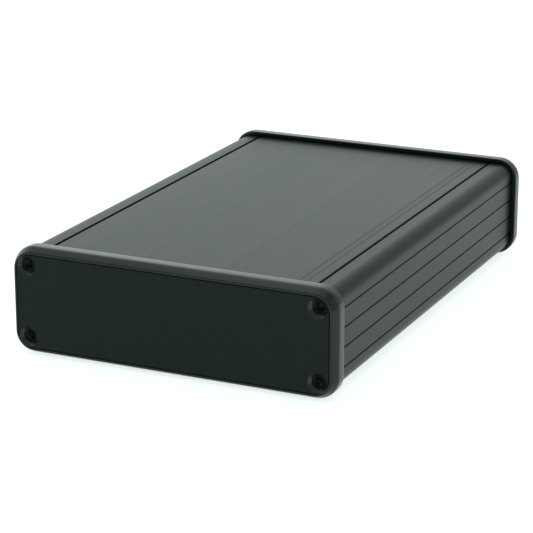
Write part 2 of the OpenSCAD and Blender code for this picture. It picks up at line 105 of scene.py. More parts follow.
tent = addNode(tree, "ShaderNodeMapRange", {
    "From Min": studio["brightFrom"], "From Max": studio["brightTo"],
    "To Min": studio["tentDim"], "To Max": studio["tentBright"]}, {"Value": wayOut.outputs["Value"]})
tree.nodes["Background"].inputs["Color"].default_value = (*studio["tint"], 1)
tree.links.new(tent.outputs[0], tree.nodes["Background"].inputs["Strength"])

floorMesh = bpy.data.meshes.new("studioFloor")
reach = studio["floorSize"] / 2
corners = [(-reach, -reach, 0), (reach, -reach, 0), (reach, reach, 0), (-reach, reach, 0)]
floorMesh.from_pydata(corners, [], [(0, 1, 2, 3)])
floor = bpy.data.objects.new("studioFloor", floorMesh)
floor.location.z = -studio["floorDrop"]
scene.collection.objects.link(floor)
paper = bpy.data.materials.new("mattPaperFloor")  # matt white paper roll: no gloss, no grain at this distance
paper.use_nodes = True
paperShader = paper.node_tree.nodes["Principled BSDF"]
paperShader.inputs["Base Color"].default_value = linearColour(studio["floor"])
paperShader.inputs["Emission Color"].default_value = (*studio["glowTint"], 1)
paperShader.inputs["Emission Strength"].default_value = studio["floorGlow"]
paperShader.inputs["Roughness"].default_value = studio["floorRough"]
paperShader.inputs["Specular IOR Level"].default_value = studio["floorGloss"]
floorMesh.materials.append(paper)

for name, (place, aim, width, height, power) in studio["boxes"].items():
    light = bpy.data.lights.new(name, "AREA")
    light.color = studio["tint"]
    light.shape, light.size, light.size_y, light.energy = "RECTANGLE", width, height, power
    lamp = bpy.data.objects.new(name, light)
    lamp.location = place
    way = np.array(aim, float) - np.array(place, float)
    tilt, turn = math.atan2(math.hypot(way[0], way[1]), -way[2]), math.atan2(way[0], -way[1]) + math.pi
    lamp.rotation_euler = (tilt, 0, turn)
    scene.collection.objects.link(lamp)
print("camera, floor and light are set")


def makeFinish(look):
    # one procedural material: noises of real sizes feed a two-colour ramp, the roughness and a stack of bumps
    material = bpy.data.materials.new(look["name"])
    material.use_nodes = True
    tree = material.node_tree
    shader = tree.nodes["Principled BSDF"]
    for key, value in look["shader"].items():
        shader.inputs[key].default_value = value
    place = addNode(tree, "ShaderNodeTexCoord").outputs["Object"]
    patterns = {}
    for name, (size, stretch, detail) in look["patterns"].items():
        scaled = addNode(tree, "ShaderNodeMapping", {"Scale": [1 / (size * mm * s) for s in stretch]}, {
            "Vector": place})
        noise = addNode(tree, "ShaderNodeTexNoise", {"Scale": 1.0, "Detail": detail}, {
            "Vector": scaled.outputs[0]})
        patterns[name] = noise.outputs[0]
    name, dark, light, low, high = look["colour"]
    ramp = addNode(tree, "ShaderNodeValToRGB", links={"Fac": patterns[name]})
    for stop, position, hexText in zip(ramp.color_ramp.elements, (low, high), (dark, light)):
        stop.position, stop.color = position, linearColour(hexText)
    tree.links.new(ramp.outputs["Color"], shader.inputs["Base Color"])
    name, low, high = look["rough"]
    span = addNode(tree, "ShaderNodeMapRange", {"To Min": low, "To Max": high}, {"Value": patterns[name]})
    tree.links.new(span.outputs[0], shader.inputs["Roughness"])
    under = {}
    for name, depth in look["relief"]:
        bump = addNode(tree, "ShaderNodeBump", {"Distance": depth * mm}, {"Height": patterns[name], **under})
        under = {"Normal": bump.outputs[0]}
    tree.links.new(bump.outputs[0], shader.inputs["Normal"])
    return material


evenly = (1, 1, 1)
# For each finish: values of the shader's own sockets; patterns, each with its lump size in millimetres, its
# stretch along x, y and z and its detail; colour and roughness, each from a pattern; bumps and their depth
looks = {
    "black_anodised": {
        # black anodised 6063 aluminium as it leaves the die: satin, with fine lines along the case
        "name": "blackAnodisedExtrusion", "shader": {"IOR": 1.24},
        "patterns": {"dieLines": (0.9, (1, 400, 1), 4), "pores": (0.35, evenly, 2)},
        "colour": ("dieLines", "#0f1715", "#1a2522", 0.35, 0.65), "rough": ("dieLines", 0.28, 0.42),
        "relief": (("pores", 0.004), ("dieLines", 0.006))},
    "panel_anodised": {
        # black anodised 5005 sheet, bead blasted first: dull, its grain too fine to see, so drawn at 0.45 mm
        "name": "blackAnodisedSheet", "shader": {"IOR": 1.22},
        "patterns": {"blasted": (0.45, evenly, 2), "cloud": (25, evenly, 3)},
        "colour": ("blasted", "#0a1713", "#111f1a", 0.35, 0.65), "rough": ("cloud", 0.42, 0.5),
        "relief": (("blasted", 0.035),)},
    "turned_cut": {
        # the same sheet where a countersink was cut before anodising: smoother, so one side catches the light
        "name": "turnedAnodisedCut", "shader": {"IOR": 1.45},
        "patterns": {"toolMarks": (0.4, evenly, 2)},
        "colour": ("toolMarks", "#0b1412", "#121c1a", 0.3, 0.7), "rough": ("toolMarks", 0.16, 0.26),
        "relief": (("toolMarks", 0.004),)},
    "bezel_plastic": {
        # black ABS from a lightly spark-eroded mould: smoother than the metal, with a sheen on its edges
        "name": "mouldedAbs", "shader": {"IOR": 1.36},
        "patterns": {"sparks": (0.45, evenly, 2), "flow": (18, evenly, 2)},
        "colour": ("flow", "#0b1412", "#0f1a17", 0.3, 0.7), "rough": ("sparks", 0.14, 0.24),
        "relief": (("sparks", 0.03),)},
    "screw_black": {
        # steel screw with black oxide: a thin dark skin, a little metal where the driver has rubbed
        "name": "blackOxideSteel", "shader": {"IOR": 1.2},
        "patterns": {"rub": (0.7, evenly, 3)},
        "colour": ("rub", "#020202", "#090a0a", 0.5, 0.85), "rough": ("rub", 0.22, 0.4),
        "relief": (("rub", 0.01),)},
    "board_green": {
        # FR-4 glass laminate under glossy green solder mask, the cloth's threads just showing through
        "name": "glassLaminateBoard", "shader": {"IOR": 1.5, "Coat Weight": 0.3, "Coat Roughness": 0.15},
        "patterns": {"weave": (0.5, (1, 1.6, 1), 1), "mask": (6, evenly, 2)},
        "colour": ("mask", "#12402a", "#17492f", 0.3, 0.7), "rough": ("weave", 0.28, 0.38),
        "relief": (("weave", 0.006),)},
    "connector_plastic": {
        # black glass-filled PBT, moulded: slightly grey, with pale fibre flecks in the direction of flow
        "name": "mouldedGlassPbt", "shader": {"IOR": 1.5},
        "patterns": {"fibres": (0.25, (1, 4, 1), 2)},
        "colour": ("fibres", "#161718", "#232527", 0.45, 0.8), "rough": ("fibres", 0.42, 0.6),
        "relief": (("fibres", 0.008),)},
    "gold_contacts": {
        # hard gold over nickel on bronze: warm, bright, with faint drawing marks
        "name": "goldPlatedBronze", "shader": {"Metallic": 1.0},
        "patterns": {"marks": (0.5, (1, 3, 1), 3)},
        "colour": ("marks", "#c9a24a", "#e0bd63", 0.3, 0.7), "rough": ("marks", 0.2, 0.32),
        "relief": (("marks", 0.006),)},
    "tinned_steel": {
        # tin plated steel, stamped and folded: silver grey, half bright, with stamping marks
        "name": "tinPlatedSteel", "shader": {"Metallic": 1.0},
        "patterns": {"marks": (0.6, (1, 3, 1), 3)},
        "colour": ("marks", "#a9adb0", "#c8cbcd", 0.3, 0.7), "rough": ("marks", 0.24, 0.42),
        "relief": (("marks", 0.006),)},
    "frozen_solder": {
        # solder as it froze: bright and slightly uneven
        "name": "frozenSolder", "shader": {"Metallic": 1.0},
        "patterns": {"marks": (0.8, evenly, 3)},
        "colour": ("marks", "#9fa2a5", "#c6c8ca", 0.3, 0.7), "rough": ("marks", 0.25, 0.45),
        "relief": (("marks", 0.006),)},
    "copper_wire": {
        # enamelled copper: red brown and glossy
        "name": "enamelledCopper", "shader": {"Metallic": 1.0},
        "patterns": {"marks": (0.4, evenly, 3)},
        "colour": ("marks", "#8a4a24", "#b06a35", 0.3, 0.7), "rough": ("marks", 0.25, 0.35),
        "relief": (("marks", 0.005),)},
    "socket_insert": {
        # ivory PBT, moulded: warm white, half matt, with faint sink marks
        "name": "mouldedIvoryPbt", "shader": {"IOR": 1.5},
        "patterns": {"sink": (2.5, evenly, 2), "grain": (0.3, evenly, 2)},
        "colour": ("sink", "#d9d5c8", "#e6e3d9", 0.3, 0.7), "rough": ("sink", 0.36, 0.5),
        "relief": (("grain", 0.008),)},
    "lamp_lens": {
        # green diffused epoxy, cast: milky, with a glossy skin
        "name": "castDiffusedEpoxy",
        "shader": {"IOR": 1.55, "Transmission Weight": 0.25, "Coat Weight": 0.4, "Coat Roughness": 0.08},
        "patterns": {"milk": (0.8, evenly, 3)},
        "colour": ("milk", "#5fae74", "#8fd39c", 0.3, 0.7), "rough": ("milk", 0.18, 0.3),
        "relief": (("milk", 0.004),)},
    "chip_epoxy": {
        # black transfer-moulded epoxy: matt from the mould's spark texture, grey with silica
        "name": "mouldedChipEpoxy", "shader": {"IOR": 1.5},
        "patterns": {"silica": (0.18, evenly, 2)},
        "colour": ("silica", "#1b1c1e", "#2a2b2d", 0.3, 0.7), "rough": ("silica", 0.5, 0.68),
        "relief": (("silica", 0.01),)},
    "resistor_ceramic": {
        # alumina under black glass glaze: darker and glossier than the chips
        "name": "glazedResistorCeramic", "shader": {"IOR": 1.6},
        "patterns": {"grain": (0.22, evenly, 3)},
        "colour": ("grain", "#17181b", "#24262a", 0.3, 0.7), "rough": ("grain", 0.3, 0.45),
        "relief": (("grain", 0.008),)},
    "ferrite": {
        # sintered ferrite: dark grey and dull, with an open grain
        "name": "sinteredFerrite", "shader": {"IOR": 1.6},
        "patterns": {"grain": (0.22, evenly, 3)},
        "colour": ("grain", "#2b2b2c", "#3b3b3c", 0.3, 0.7), "rough": ("grain", 0.6, 0.8),
        "relief": (("grain", 0.012),)},
    "capacitor_ceramic": {
        # fired titanate ceramic: tan, fine and even
        "name": "firedCapacitorCeramic", "shader": {"IOR": 1.6},
        "patterns": {"grain": (0.22, evenly, 3)},
        "colour": ("grain", "#86704d", "#a48c63", 0.3, 0.7), "rough": ("grain", 0.5, 0.65),
        "relief": (("grain", 0.008),)},
    "capacitor_can": {
        # drawn aluminium in a clear film: bright, with fine rings round the can
        "name": "drawnAluminiumCan", "shader": {"Metallic": 1.0, "Coat Weight": 0.2, "Coat Roughness": 0.2},
        "patterns": {"rings": (0.2, (30, 30, 1), 2)},
        "colour": ("rings", "#b4b7ba", "#cfd1d3", 0.3, 0.7), "rough": ("rings", 0.24, 0.34),
        "relief": (("rings", 0.004),)},
    "masked_copper": {
        # copper tracks under the green mask: a lighter green than the bare laminate
        "name": "copperUnderMask", "shader": {"IOR": 1.5},
        "patterns": {"mask": (0.6, evenly, 3)},
        "colour": ("mask", "#1f6a44", "#257550", 0.3, 0.7), "rough": ("mask", 0.28, 0.36),
        "relief": (("mask", 0.004),)},
    "screen_ink": {
        # white screen-printed ink: matt, a little uneven in cover
        "name": "screenPrintedInk", "shader": {"IOR": 1.5},
        "patterns": {"cover": (0.22, evenly, 3)},
        "colour": ("cover", "#cfd2cb", "#e2e4de", 0.3, 0.7), "rough": ("cover", 0.55, 0.7),
        "relief": (("cover", 0.006),)},
}
finishes = {name: makeFinish(look) for name, look in looks.items()}


def nodeBox(nodeName):  # lowest and highest corners of a CAD node, in millimetres
    return [np.array(corner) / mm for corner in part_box(nodeName)]


caseLow, caseHigh = nodeBox("case_extrusion")
boardLow, boardHigh = nodeBox("main_board")
boardTop, boardUnder = boardHigh[2], boardLow[2]

# the board's cut edges and holes show straw-coloured resin: a point is on a face where its distance from the
# middle of the thickness is within a skin of half that thickness
resin = {"dark": "#8d8458", "light": "#a89c6c", "skin": 0.02, "rough": 0.8}
tree = finishes["board_green"].node_tree
shader, ramp, weave = tree.nodes["Principled BSDF"], tree.nodes["Color Ramp"], tree.nodes["Noise Texture"]
roughLink = shader.inputs["Roughness"].links[0].from_socket
place = tree.nodes["Texture Coordinate"].outputs["Object"]
height = addNode(tree, "ShaderNodeSeparateXYZ", links={"Vector": place})
fromMiddle = addNode(tree, "ShaderNodeMath", {
    "operation": "SUBTRACT", 1: (boardUnder + boardTop) / 2 * mm}, {0: height.outputs["Z"]})
away = addNode(tree, "ShaderNodeMath", {"operation": "ABSOLUTE"}, {0: fromMiddle.outputs[0]})
onFace = addNode(tree, "ShaderNodeMath", {
    "operation": "GREATER_THAN", 1: ((boardTop - boardUnder) / 2 - resin["skin"]) * mm}, {0: away.outputs[0]})
straw = addNode(tree, "ShaderNodeMix", {
    "data_type": "RGBA", 6: linearColour(resin["dark"]), 7: linearColour(resin["light"])}, {
    0: weave.outputs[0]})
colourMix = addNode(tree, "ShaderNodeMix", {"data_type": "RGBA"}, {
    0: onFace.outputs[0], 6: straw.outputs[2], 7: ramp.outputs["Color"]})
roughMix = addNode(tree, "ShaderNodeMapRange", {"To Min": resin["rough"]}, {
    "Value": onFace.outputs[0], "To Max": roughLink})
tree.links.new(colourMix.outputs[2], shader.inputs["Base Color"])
tree.links.new(roughMix.outputs[0], shader.inputs["Roughness"])

# scratches in the die leave two hairlines along the extrusions: rougher and a little raised where x is near
# one of these; the real ones are about 0.1 mm wide, drawn wider to show
hairlines = {"across": (37.2, 39.5), "width": 0.5, "height": 0.02, "rough": 0.65}
tree = finishes["black_anodised"].node_tree
shader = tree.nodes["Principled BSDF"]
place = tree.nodes["Texture Coordinate"].outputs["Object"]
across = addNode(tree, "ShaderNodeSeparateXYZ", links={"Vector": place})
nearest = None
for x in hairlines["across"]:
    offset = addNode(tree, "ShaderNodeMath", {"operation": "SUBTRACT", 1: x * mm}, {0: across.outputs["X"]})
    away = addNode(tree, "ShaderNodeMath", {"operation": "ABSOLUTE"}, {0: offset.outputs[0]})
    if nearest:
        away = addNode(tree, "ShaderNodeMath", {"operation": "MINIMUM"}, {
            0: away.outputs[0], 1: nearest.outputs[0]})
    nearest = away
apart = addNode(tree, "ShaderNodeMapRange", {
    "interpolation_type": "SMOOTHSTEP", "From Max": hairlines["width"] / 2 * mm}, {
    "Value": nearest.outputs[0]})
scored = addNode(tree, "ShaderNodeBump", {"Distance": hairlines["height"] * mm, "invert": True}, {
    "Height": apart.outputs[0], "Normal": shader.inputs["Normal"].links[0].from_socket})
dulled = addNode(tree, "ShaderNodeMapRange", {"To Min": hairlines["rough"]}, {
    "Value": apart.outputs[0], "To Max": shader.inputs["Roughness"].links[0].from_socket})
tree.links.new(scored.outputs[0], shader.inputs["Normal"])
tree.links.new(dulled.outputs[0], shader.inputs["Roughness"])


def dress(piece, finishName):  # gives a piece its finish
    piece.data.materials.clear()
    piece.data.materials.append(finishes[finishName])


for nodeName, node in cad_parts.items():
    node.data.materials[0] = finishes[node.data.materials[0].name]
print("finishes are made")


soften = {"merge": 0.002, "flatAngle": 0.4, "sharpAngle": 35, "segments": 2}


def softenedCopy(nodeName, pieceName, bodyName, slotName, edge):
    # a merged copy of a CAD node whose edges that turn by more than the sharp angle get a narrow rounding
    mesh = bpy.data.meshes.new(pieceName)
    work = bmesh.new()
    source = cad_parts[nodeName].data.copy()
    if "custom_normal" in source.attributes:
        source.attributes.remove(source.attributes["custom_normal"])
    work.from_mesh(source)
    bmesh.ops.remove_doubles(work, verts=work.verts, dist=soften["merge"] * mm)
    flat = math.radians(soften["flatAngle"])
    bmesh.ops.dissolve_limit(work, angle_limit=flat, verts=work.verts, edges=work.edges)
    work.to_mesh(mesh)
    work.free()
    bpy.data.meshes.remove(source)
    mesh.polygons.foreach_set("use_smooth", [True] * len(mesh.polygons))
    piece = bpy.data.objects.new(pieceName, mesh)
    scene.collection.objects.link(piece)
    bevel = piece.modifiers.new("brokenEdges", "BEVEL")
    bevel.width, bevel.segments, bevel.limit_method = edge * mm, soften["segments"], "ANGLE"
    bevel.angle_limit = math.radians(soften["sharpAngle"])
    piece.modifiers.new("evenShading", "WEIGHTED_NORMAL").keep_sharp = True
    dress(piece, slotName)
    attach(piece, bodyName)
    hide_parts(nodeName)
    return piece


brokenEdges = {  # piece: CAD node, body, slot and width of the edge rounding in millimetres
    "caseExtrusion": ("case_extrusion", "case", "black_anodised", 0.22),
    "topCover": ("top_cover", "cover", "black_anodised", 0.5),
    "frontPanel": ("front_panel", "case", "panel_anodised", 0.06),
    "rearPanel": ("rear_panel", "rear_end", "panel_anodised", 0.06),
    "signalHeader": ("signal_header", "board", "connector_plastic", 0.12),
    "latchLeft": ("latch_left", "latch_left", "connector_plastic", 0.25),
    "latchRight": ("latch_right", "latch_right", "connector_plastic", 0.25),
    "usbShell": ("usb_shell", "board", "tinned_steel", 0.1),
    "usbInsert": ("usb_insert", "board", "socket_insert", 0.15),
    "lampHolder": ("lamp_holder", "board", "connector_plastic", 0.15),
    "headerPins": ("header_pins", "board", "gold_contacts", 0.12),
    "usbContacts": ("usb_contacts", "board", "gold_contacts", 0.06),
    "inputComparators": ("input_comparators", "board", "chip_epoxy", 0.1),
    "thresholdConverter": ("threshold_converter", "board", "chip_epoxy", 0.1),
    "captureChip": ("capture_chip", "board", "chip_epoxy", 0.12),
    "memoryChips": ("memory_chips", "board", "chip_epoxy", 0.1),
    "usbController": ("usb_controller", "board", "chip_epoxy", 0.12),
    "settingsMemory": ("settings_memory", "board", "chip_epoxy", 0.1),
    "sampleOscillator": ("sample_oscillator", "board", "tinned_steel", 0.25),
    "usbCrystal": ("usb_crystal", "board", "tinned_steel", 0.2),
    "voltageRegulators": ("voltage_regulators", "board", "chip_epoxy", 0.12),
    "powerInductor": ("power_inductor", "board", "ferrite", 0.15),
}
for pieceName, (nodeName, bodyName, slotName, edge) in brokenEdges.items():
    softenedCopy(nodeName, pieceName, bodyName, slotName, edge)
print("CAD shapes are softened")


def latticeFaces(rows, columns, wrapRows=False, wrapColumns=False):  # quads of a grid of points, by number
    i = np.arange(rows if wrapRows else rows - 1)[:, None]
    j = np.arange(columns if wrapColumns else columns - 1)[None, :]
    nextI, nextJ = (i + 1) % rows, (j + 1) % columns
    quads = [i * columns + j, i * columns + nextJ, nextI * columns + nextJ, nextI * columns + j]
    return np.stack(quads, -1).reshape(-1, 4)


def facingOut(points, faces):
    # turns a closed shape's faces round if its volume, summed over fans, is negative
    volume = 0
    for group in faces:
        corner = points[group]
        for k in range(1, group.shape[1] - 1):
            volume += np.einsum("ij,ij->", corner[:, 0], np.cross(corner[:, k], corner[:, k + 1]))
    return [group[:, ::-1] for group in faces] if volume < 0 else faces


def addPiece(name, shape, bodyName, finishName, sharp=32):
    points, faces = shape
    mesh = bpy.data.meshes.new(name)
    mesh.from_pydata((points * mm).tolist(), [], [face for group in faces for face in group.tolist()])
    mesh.polygons.foreach_set("use_smooth", [True] * len(mesh.polygons))
    mesh.set_sharp_from_angle(angle=math.radians(sharp))
    piece = bpy.data.objects.new(name, mesh)
    scene.collection.objects.link(piece)
    dress(piece, finishName)
    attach(piece, bodyName)
    return piece


def copies(shape, turns, places):
    # each point turned about Z by its copy's angle, then moved to its copy's place
    points, faces = shape
    turns, places = np.broadcast_to(np.asarray(turns, float), len(places)), np.asarray(places, float)
    cosine, sine = np.cos(turns)[:, None], np.sin(turns)[:, None]
    x, y, z = points.T[:, None, :]
    turned = np.stack([x * cosine - y * sine, x * sine + y * cosine, z + 0 * cosine], -1)
    allPoints = turned + places[:, None, :]
    step = (np.arange(len(places)) * len(points))[:, None, None]
    return allPoints.reshape(-1, 3), [(group[None] + step).reshape(-1, group.shape[1]) for group in faces]


def joined(*shapes):  # several shapes as one, the later ones' faces renumbered
    points, faces, start = [], [], 0
    for shapePoints, shapeFaces in shapes:
        points.append(shapePoints)
        faces += [group + start for group in shapeFaces]
        start += len(shapePoints)
    return np.concatenate(points), faces


def flatBar(path, thick, wide):
    # a rectangle carried along a flat path: each ring stands across the path's mean direction, widened at a
    # bend by one over the cosine of half the turn. The path is in the first two columns, the bar's width
    # in the third
    path = np.asarray(path, float)
    run = np.diff(path, axis=0)
    run /= np.linalg.norm(run, axis=1, keepdims=True)
    way = np.concatenate([run[:1], run[:-1] + run[1:], run[-1:]])
    way /= np.linalg.norm(way, axis=1, keepdims=True)
    turn = np.clip(np.sum(way * np.concatenate([run[:1], run]), axis=1), 0.5, 1)
    across = np.stack([-way[:, 1], way[:, 0]], -1) * (thick / 2 / turn)[:, None]
    flat = np.stack([path + across, path - across, path - across, path + across], 1)
    side = np.broadcast_to(np.array([1, 1, -1, -1]) * wide / 2, flat.shape[:2])
    points = np.concatenate([flat, side[..., None]], -1).reshape(-1, 3)
    last = 4 * (len(path) - 1)
    caps = np.array([[3, 2, 1, 0], [last, last + 1, last + 2, last + 3]])
    faces = [latticeFaces(len(path), 4, wrapColumns=True), caps]
    return points, facingOut(points, faces)


def reordered(shape, axes):  # swaps a shape's axes and keeps its faces outward
    points = shape[0][:, axes]
    return points, facingOut(points, shape[1])


def roundBend(corners, radii, steps=4):
    # the path through flat corners, each inner one replaced by a curve that blends its two arms
    corners = np.asarray(corners, float)
    radii = np.broadcast_to(radii, len(corners) - 2)
    share = np.linspace(0, 1, steps)[:, None]
    path = [corners[:1]]
    for before, corner, after, radius in zip(corners[:-2], corners[1:-1], corners[2:], radii):
        start = corner + (before - corner) / np.linalg.norm(before - corner) * radius
        end = corner + (after - corner) / np.linalg.norm(after - corner) * radius
        path.append((1 - share) ** 2 * start + 2 * share * (1 - share) * corner + share ** 2 * end)
    return np.concatenate(path + [corners[-1:]])


def turnedShape(profile, columns=24, sixSided=None):
    # radius and height carried round Z; where sixSided is 1 the radius follows a hexagon, flats at its cosine
    profile = np.asarray(profile, float)
    angle = np.arange(columns) / columns * 2 * np.pi
    hexagon = np.cos(np.pi / 6) / np.cos((angle % (np.pi / 3)) - np.pi / 6)
    share = np.zeros(len(profile)) if sixSided is None else np.asarray(sixSided, float)
    radius = profile[:, 0, None] * (1 + share[:, None] * (hexagon - 1))
    height = profile[:, 1, None] + 0 * radius
    points = np.stack([radius * np.cos(angle), radius * np.sin(angle), height], -1).reshape(-1, 3)
    last = (len(profile) - 1) * columns
    caps = np.stack([np.arange(columns)[::-1], last + np.arange(columns)])
    faces = [latticeFaces(len(profile), columns, wrapColumns=True), caps]
    return points, facingOut(points, faces)


def boxShape(low, high):  # a plain closed box between two corners, for trim less than a millimetre thick
    low, high = np.asarray(low, float), np.asarray(high, float)
    pick = np.array([[x, y, z] for z in (0, 1) for y in (0, 1) for x in (0, 1)])
    points = low + (high - low) * pick
    faces = [np.array([[0, 2, 3, 1], [4, 5, 7, 6], [0, 1, 5, 4], [2, 6, 7, 3], [0, 4, 6, 2], [1, 3, 7, 5]])]
    return points, facingOut(points, faces)


def solidBoxes(nodeName, count):  # lowest and highest corners of each of a node's equal solids
    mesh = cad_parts[nodeName].data
    points = np.zeros(len(mesh.vertices) * 3, np.float32)
    mesh.vertices.foreach_get("co", points)
    points = points.reshape(count, -1, 3) / mm
    return np.stack([points.min(1), points.max(1)], 1)


bezel = {
    "cornerRadius": 7.0, "rim": 2.0, "lip": 0.65, "slope": 2.6, "web": 0.8, "panel": 1.5, "webInset": 4.2,
    "sleeveGap": 0.15, "caseRadius": 4.2, "padRadius": 4.0, "padHole": 1.6, "cornerSteps": 14, "bendSteps": 6,
    "backFlat": 0.8, "mouthChamfer": 0.15,
    # rounding where the panel's hole meets the lip, the lip the slope, the slope the side, the side the back
    "bends": (0.12, 0.25, 0.6, 0.3),
}


def roundedLoop(width, height, radius, steps):
    # points round a rounded rectangle, the same number for any size
    angle = (np.arange(4)[:, None] * 90 + np.linspace(0, 90, steps)[None, :]) * np.pi / 180
    signX, signZ = np.array([1, -1, -1, 1])[:, None], np.array([1, 1, -1, -1])[:, None]
    x = signX * (width / 2 - radius) + radius * np.cos(angle)
    z = signZ * (height / 2 - radius) + radius * np.sin(angle)
    return np.stack([x.ravel(), z.ravel()], -1)


def bezelShape(faceY, inward):
    # loops of rounded rectangles, each at its own depth, joined into a closed ring: up the inside of the rim,
    # over the lip and the slope, along the sleeve, back in round the end of the case, and round the web
    low, high = nodeBox("front_bezel")
    width, height, middle = high[0] - low[0], high[2] - low[2], (high[2] + low[2]) / 2
    corner, rim, deep = bezel["cornerRadius"], bezel["rim"], high[1] - low[1]
    ring = roundBend([
        (corner - rim, bezel["panel"]), (corner - rim, 0), (corner - rim + bezel["lip"], 0),
        (corner, bezel["slope"]), (corner, deep), (corner - bezel["backFlat"], deep)],
        bezel["bends"], bezel["bendSteps"])
    loops = [(width - 2 * (corner - r), height - 2 * (corner - r), r, y) for r, y in ring]
    gap, stack = bezel["sleeveGap"], bezel["panel"] + bezel["web"]
    caseSize, chamfer = caseHigh - caseLow, bezel["mouthChamfer"]
    sleeve = np.array([caseSize[0] + 2 * gap, caseSize[2] + 2 * gap, bezel["caseRadius"] + gap])
    mouth = sleeve + [2 * chamfer, 2 * chamfer, chamfer]
    loops += [(*mouth, deep), (*sleeve, deep - chamfer), (*sleeve, stack)]
    inner = corner - bezel["webInset"]
    web = (width - 2 * bezel["webInset"], height - 2 * bezel["webInset"], inner)
    loops += [(*web, stack), (*web, bezel["panel"])]
    points = []
    for w, h, r, y in loops:
        loop = roundedLoop(w, h, r, bezel["cornerSteps"])
        points.append(np.stack([loop[:, 0], faceY + inward * (y + 0 * loop[:, 0]), loop[:, 1] + middle], -1))
    points = np.array(points)
    faces = [latticeFaces(points.shape[0], points.shape[1], wrapRows=True, wrapColumns=True)]
    points = points.reshape(-1, 3)
    return points, facingOut(points, faces)


hub = 0.02  # the radius at which a turned shape closes on its axis
screw = {
    "drop": 0.95, "headRadius": 2.1, "coreRadius": 1.02, "crestRadius": 1.27, "length": 11.8, "pitch": 0.9,
    "recess": 1.05, "recessMouth": 1.7, "recessDepth": 1.2, "columns": 36, "turnSteps": 18,
    # the cone under the socket, the rounding of its floor, and that of its mouth, out and down
    "cone": 0.25, "floorRound": 0.1, "mouthRound": (0.05, 0.03),
    # the rounding of the head's rim, a point half way round it, the neck under the head, and the tip
    "rim": 0.12, "rimHalf": (0.03, 0.04), "neck": (0.25, 0.2, 0.1), "taper": 1.2, "tip": (0.35, 0.15),
    # thread: its start under the head, its end before the tip, how deep its root is sunk, half its foot in
    # pitches, and how fast its height grows from the least
    "threadStart": 0.4, "threadEnd": 0.9, "rootSink": 0.05, "threadFoot": 0.28, "growth": 12, "least": 0.05,
}


def screwPlaces(y):
    low, high = nodeBox("front_screws")
    radius = screw["headRadius"]
    x, z, middle = high[0] - radius, (high[2] - low[2]) / 2 - radius, (high[2] + low[2]) / 2
    return np.array([(sx * x, y, middle + sz * z) for sx in (-1, 1) for sz in (-1, 1)])


def alongY(shape, direction):  # a shape turned about Z becomes one along Y, its top towards -Y or +Y
    points = shape[0][:, [0, 2, 1]] * [1, -direction, 1]
    return points, facingOut(points, shape[1])


padBack = bezel["panel"] + bezel["web"]
padProfile = [(bezel["padHole"], bezel["panel"]), (bezel["padRadius"], bezel["panel"]),
              (bezel["padRadius"], padBack), (bezel["padHole"], padBack)]


def ringShape(profile, columns=32):  # a closed profile of radius and height carried round Z
    profile = np.asarray(profile, float)
    angle = np.arange(columns) / columns * 2 * np.pi
    points = np.stack([profile[:, 0, None] * np.cos(angle), profile[:, 0, None] * np.sin(angle),
                       profile[:, 1, None] + 0 * angle], -1).reshape(-1, 3)
    return points, facingOut(points, [latticeFaces(len(profile), columns, wrapRows=True, wrapColumns=True)])


frontY, rearY = nodeBox("front_bezel")[0][1], nodeBox("rear_bezel")[1][1]
for pieceName, nodeName, bodyName, faceY, inward in (
        ("frontBezel", "front_bezel", "case", frontY, 1), ("rearBezel", "rear_bezel", "rear_end", rearY, -1)):
    pads = copies(alongY(ringShape(padProfile), -inward), 0, screwPlaces(faceY))
    frameRing = addPiece(pieceName, joined(bezelShape(faceY, inward), pads), bodyName, "bezel_plastic")
    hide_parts(nodeName)
print("bezels are swept")


def screwShape():
    # one grid from the middle of the socket's floor out over the head, down the shank and to its point
    drop, head, core = screw["drop"], screw["headRadius"], screw["coreRadius"]
    floorZ, mouthZ = drop + screw["recessDepth"], drop + screw["recessMouth"] - screw["recess"]
    neck, tip = screw["neck"], screw["tip"]
    stations = [  # radius, depth below the panel's face, and how six-sided it is
        (hub, floorZ + screw["cone"], 0), (screw["recess"] - screw["floorRound"], floorZ, 1),
        (screw["recess"], floorZ - screw["floorRound"], 1), (screw["recess"], mouthZ, 1),
        (screw["recessMouth"], drop + screw["mouthRound"][1], 0),
        (screw["recessMouth"] + screw["mouthRound"][0], drop, 0), (head - screw["rim"], drop, 0),
        (head - screw["rimHalf"][0], drop + screw["rimHalf"][1], 0), (head, drop + screw["rim"], 0),
        (core + neck[0], drop + head - core - neck[1], 0), (core, drop + head - core + neck[2], 0),
        (core, screw["length"] - screw["taper"], 0), (tip[0], screw["length"] - tip[1], 0),
        (hub, screw["length"], 0)]

    body = turnedShape([(r, -z) for r, z, six in stations], screw["columns"], [six for r, z, six in stations])
    # thread: a triangle carried along a helix, height falling with the angle, fading in at both ends
    top, bottom = drop + head - core + screw["threadStart"], screw["length"] - screw["threadEnd"]
    turns = (bottom - top) / screw["pitch"]
    share = np.linspace(0, 1, int(turns * screw["turnSteps"]))
    angle = share * turns * 2 * np.pi
    fade = np.clip(np.minimum(share, 1 - share) * screw["growth"], screw["least"], 1)
    root = core - screw["rootSink"] + 0 * share
    radius = np.stack([root, core + (screw["crestRadius"] - core) * fade, root], -1)
    lift = np.array([-1, 0, 1]) * screw["threadFoot"] * screw["pitch"]
    depth = -(top + share * (bottom - top))[:, None] + lift
    points = np.stack([radius * np.cos(angle)[:, None], radius * np.sin(angle)[:, None], depth], -1)
    points = points.reshape(-1, 3)
    last = len(points) - 3
    faces = [latticeFaces(len(share), 3, wrapColumns=True), np.array([[2, 1, 0], [last, last + 1, last + 2]])]
    return joined(body, (points, facingOut(points, faces)))


